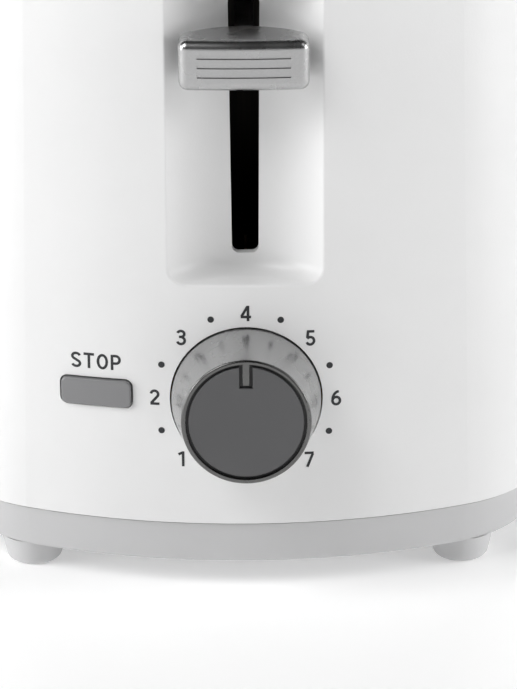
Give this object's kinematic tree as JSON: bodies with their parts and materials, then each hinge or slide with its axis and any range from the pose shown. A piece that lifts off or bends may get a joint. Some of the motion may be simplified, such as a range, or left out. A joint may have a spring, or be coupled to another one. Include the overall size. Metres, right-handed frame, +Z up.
{
  "type": "pop up toaster",
  "caption": "Pop-up toaster with a rounded plastic housing, lift lever in a front recess, browning knob, stop button, bread slots and a rear crumb tray.",
  "frame": {"origin": "on the worktop, in the middle of the toaster's overall footprint, its knob and tray grip included", "axes": "+Z up, -Y out of the control end towards the user, +X to the right of a user facing it"},
  "size_m": [0.18, 0.3088, 0.19],
  "materials": {
    "white_plastic": "moulded, light sheen",
    "grey_base_plastic": "moulded, satin",
    "foot_plastic": "moulded, satin",
    "silver_knob_plastic": "metallic coated plastic, glossy",
    "dark_cap_plastic": "moulded, fine texture",
    "button_plastic": "moulded, satin",
    "stainless_steel": "brushed",
    "galvanised_steel": "zinc plated",
    "reflector_aluminised": "rolled, dull",
    "spring_steel": "polished wire",
    "mica": "pressed mica sheet",
    "resistance_alloy": "flat ribbon, dull",
    "black_plastic": "moulded, matte",
    "circuit_board": "phenolic paper laminate",
    "copper_winding": "enamelled wire",
    "nylon": "moulded, matte",
    "zinc_screw": "zinc plated"
  },
  "bodies": {
    "housing": {"base_pan": "grey_base_plastic", "base_screws": "zinc_screw", "board_bracket": "nylon", "board_components": "black_plastic", "chassis_floor": "galvanised_steel", "chassis_screws": "zinc_screw", "control_board": "circuit_board", "cord_bush": "black_plastic", "foot_front_left": "foot_plastic", "foot_front_right": "foot_plastic", "foot_rear_left": "foot_plastic", "foot_rear_right": "foot_plastic", "front_end_plate": "galvanised_steel", "guide_rod": "spring_steel", "heating_ribbon_centre": "resistance_alloy", "heating_ribbon_left": "resistance_alloy", "heating_ribbon_right": "resistance_alloy", "lift_spring": "spring_steel", "magnet_coil": "copper_winding", "magnet_frame": "galvanised_steel", "mica_board_centre": "mica", "mica_board_left": "mica", "mica_board_right": "mica", "outer_shell": "white_plastic", "potentiometer": "black_plastic", "power_switch": "black_plastic", "rear_end_plate": "galvanised_steel", "reflector_left": "reflector_aluminised", "reflector_right": "reflector_aluminised", "rod_bracket": "galvanised_steel", "slot_bezel": "stainless_steel", "stop_switch": "black_plastic", "terminal_block": "nylon"},
    "knob": {"browning_knob": "silver_knob_plastic", "cap_backing": "black_plastic", "knob_cap": "dark_cap_plastic", "potentiometer_shaft": "spring_steel"},
    "stop_button": {"stop_button": "button_plastic"},
    "stop_switch_plunger": {"stop_plunger": "nylon"},
    "carriage": {"carriage_plate": "galvanised_steel", "carriage_slider": "nylon", "bread_rack_left": "galvanised_steel", "bread_rack_right": "galvanised_steel", "lever_arm": "galvanised_steel", "lever_knob": "silver_knob_plastic", "armature": "galvanised_steel"},
    "guard_left_outer": {"guard_left_outer": "spring_steel"},
    "guard_left_inner": {"guard_left_inner": "spring_steel"},
    "guard_right_inner": {"guard_right_inner": "spring_steel"},
    "guard_right_outer": {"guard_right_outer": "spring_steel"},
    "power_switch_plunger": {"switch_plunger": "nylon"},
    "crumb_tray": {"crumb_tray": "galvanised_steel", "crumb_tray_handle": "grey_base_plastic"}
  },
  "joints": [
    {"name": "browning_knob_turn", "type": "hinge", "parent": "housing", "child": "knob", "pos_m": [0, -0.135, 0.0577], "axis": [0, 0.999, -0.0454], "range_deg": [-135, 135]},
    {"name": "stop_button_press", "type": "slide", "parent": "housing", "child": "stop_button", "axis": [0, 0.999, -0.0454], "range_m": [0, 0.0025], "stiffness_N_per_m": 400},
    {"name": "stop_switch_press", "type": "slide", "parent": "housing", "child": "stop_switch_plunger", "axis": [0, 0.999, -0.0454], "range_m": [0, 0.0025], "stiffness_N_per_m": 200},
    {"name": "carriage_lift", "type": "slide", "parent": "housing", "child": "carriage", "axis": [0, 0, 1], "range_m": [-0.055, 0], "stiffness_N_per_m": 60, "springref_m": 0.06, "deforming": ["lift_spring"]},
    {"name": "power_switch_press", "type": "slide", "parent": "housing", "child": "power_switch_plunger", "axis": [0, 0, 1], "range_m": [-0.0025, 0], "stiffness_N_per_m": 200},
    {"name": "crumb_tray_slide", "type": "slide", "parent": "housing", "child": "crumb_tray", "axis": [0, 1, 0], "range_m": [0, 0.19]},
    {"name": "guard_left_outer_lean", "type": "hinge", "parent": "housing", "child": "guard_left_outer", "pos_m": [-0.041, 0.01985, 0.047], "axis": [0, 1, 0], "range_deg": [0, 3.2]},
    {"name": "guard_left_inner_lean", "type": "hinge", "parent": "housing", "child": "guard_left_inner", "pos_m": [-0.013, 0.01985, 0.047], "axis": [0, -1, 0], "range_deg": [0, 3.2]},
    {"name": "guard_right_inner_lean", "type": "hinge", "parent": "housing", "child": "guard_right_inner", "pos_m": [0.013, 0.01985, 0.047], "axis": [0, 1, 0], "range_deg": [0, 3.2]},
    {"name": "guard_right_outer_lean", "type": "hinge", "parent": "housing", "child": "guard_right_outer", "pos_m": [0.041, 0.01985, 0.047], "axis": [0, -1, 0], "range_deg": [0, 3.2]}
  ],
  "couplings": [
    {"joint": "stop_switch_press", "follows": "stop_button_press", "ratio": 1},
    {"joint": "guard_left_outer_lean", "follows": "carriage_lift", "rad_per_m": -1.0144},
    {"joint": "guard_left_inner_lean", "follows": "carriage_lift", "rad_per_m": -1.0144},
    {"joint": "guard_right_inner_lean", "follows": "carriage_lift", "rad_per_m": -1.0144},
    {"joint": "guard_right_outer_lean", "follows": "carriage_lift", "rad_per_m": -1.0144}
  ]
}
